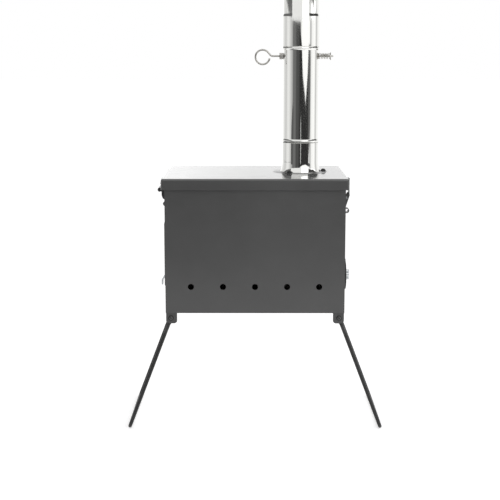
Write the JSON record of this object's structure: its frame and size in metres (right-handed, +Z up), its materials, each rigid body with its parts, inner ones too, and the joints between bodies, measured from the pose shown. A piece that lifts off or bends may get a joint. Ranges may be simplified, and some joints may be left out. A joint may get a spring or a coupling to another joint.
{
  "type": "tent wood stove",
  "caption": "Small steel tent wood stove: box firebox with hinged lid, end door, side air holes, folding rod legs and a polished flue with a spring-held damper.",
  "frame": {"origin": "on the ground under the middle of the firebox", "axes": "+X from the door end to the air-vent end, +Y from the pictured side to the far side, +Z up"},
  "size_m": [0.4244, 0.22, 0.8926],
  "materials": {
    "black_steel": "satin black heat-proof paint on sheet steel",
    "black_fittings": "satin black hinges, brackets and rivets",
    "leg_rod": "satin black round rod",
    "grate_steel": "bare dark steel",
    "flue_steel": "mirror-polished stainless sheet",
    "black_screws": "black oxide dome screws",
    "plated_steel": "bright zinc plate",
    "damper_steel": "drawn stainless wire and sheet"
  },
  "bodies": {
    "firebox": {"side_panel_front": "black_steel", "side_panel_back": "black_steel", "end_panel_door": "black_steel", "end_panel_vent": "black_steel", "base_pan": "black_steel", "grate": "grate_steel", "grate_ledge_front": "grate_steel", "grate_ledge_back": "grate_steel", "leg_bracket_front_left": "black_steel", "leg_bracket_front_right": "black_steel", "leg_bracket_back_left": "black_steel", "leg_bracket_back_right": "black_steel", "leg_rivets": "black_fittings", "body_hinge_leaf_front": "black_fittings", "body_hinge_leaf_back": "black_fittings", "lid_hinge_pins": "black_fittings", "body_hinge_rivets": "black_fittings", "door_hinge_upper": "black_fittings", "door_hinge_lower": "black_fittings", "door_hinge_pin": "plated_steel", "door_hinge_rivets": "black_fittings", "vent_drum_cap": "black_steel", "vent_stud": "plated_steel", "catch_bracket": "black_fittings", "catch_pin": "plated_steel", "catch_rivets": "black_fittings"},
    "leg_left": {"leg_frame_left": "leg_rod"},
    "leg_right": {"leg_frame_right": "leg_rod"},
    "lid_assembly": {"lid": "black_steel", "lid_hinge_leaf_front": "black_fittings", "lid_hinge_leaf_back": "black_fittings", "lid_hinge_rivets": "black_fittings", "flue_collar": "flue_steel", "collar_screws": "black_screws", "collar_nuts": "plated_steel", "catch_keeper": "black_fittings"},
    "lower_flue": {"damper_pipe": "flue_steel"},
    "upper_flue": {"upper_pipe": "flue_steel"},
    "damper": {"damper_shaft": "damper_steel", "damper_plate": "damper_steel", "damper_stop_nut": "damper_steel", "damper_washers": "damper_steel", "damper_spring": "damper_steel", "damper_cotter": "damper_steel"},
    "door_panel": {"door": "black_steel"},
    "door_latch": {"latch_lever": "plated_steel", "latch_tongue": "damper_steel", "latch_nut": "plated_steel"},
    "vent_regulator": {"vent_disc": "black_steel"},
    "wing_nut": {"vent_wing_nut": "plated_steel"},
    "catch": {"lid_catch": "black_fittings"}
  },
  "joints": [
    {"name": "leg_left_fold", "type": "hinge", "parent": "firebox", "child": "leg_left", "pos_m": [-0.1369, 0, 0.19324], "axis": [0, -1, 0], "range_deg": [0, 110.8]},
    {"name": "leg_right_fold", "type": "hinge", "parent": "firebox", "child": "leg_right", "pos_m": [0.1369, 0, 0.19324], "axis": [0, 1, 0], "range_deg": [0, 104.8]},
    {"name": "lid_open", "type": "hinge", "parent": "firebox", "child": "lid_assembly", "pos_m": [-0.1546, 0, 0.40144], "axis": [0, -1, 0], "range_deg": [0, 100]},
    {"name": "flue_lift", "type": "slide", "parent": "lid_assembly", "child": "lower_flue", "axis": [0, 0, 1], "range_m": [0, 0.06]},
    {"name": "section_lift", "type": "slide", "parent": "lower_flue", "child": "upper_flue", "axis": [0, 0, 1], "range_m": [0, 0.06]},
    {"name": "damper_turn", "type": "hinge", "parent": "lower_flue", "child": "damper", "pos_m": [0.077, 0.011, 0.61564], "axis": [1, 0, 0], "range_deg": [0, 90]},
    {"name": "door_swing", "type": "hinge", "parent": "firebox", "child": "door_panel", "pos_m": [-0.148, -0.0595, 0.29064], "axis": [0, 0, 1], "range_deg": [0, 120]},
    {"name": "latch_turn", "type": "hinge", "parent": "door_panel", "child": "door_latch", "pos_m": [-0.147, 0.04, 0.28264], "axis": [-1, 0, 0], "range_deg": [0, 90]},
    {"name": "vent_turn", "type": "hinge", "parent": "firebox", "child": "vent_regulator", "pos_m": [0.154, 0, 0.24514], "axis": [1, 0, 0], "range_deg": [0, 45]},
    {"name": "wing_nut_turn", "type": "hinge", "parent": "firebox", "child": "wing_nut", "pos_m": [0.157, 0, 0.24514], "axis": [1, 0, 0], "continuous": true},
    {"name": "catch_rock", "type": "hinge", "parent": "firebox", "child": "catch", "pos_m": [0.1542, 0, 0.37864], "axis": [0, 1, 0], "range_deg": [-6, 8]}
  ]
}
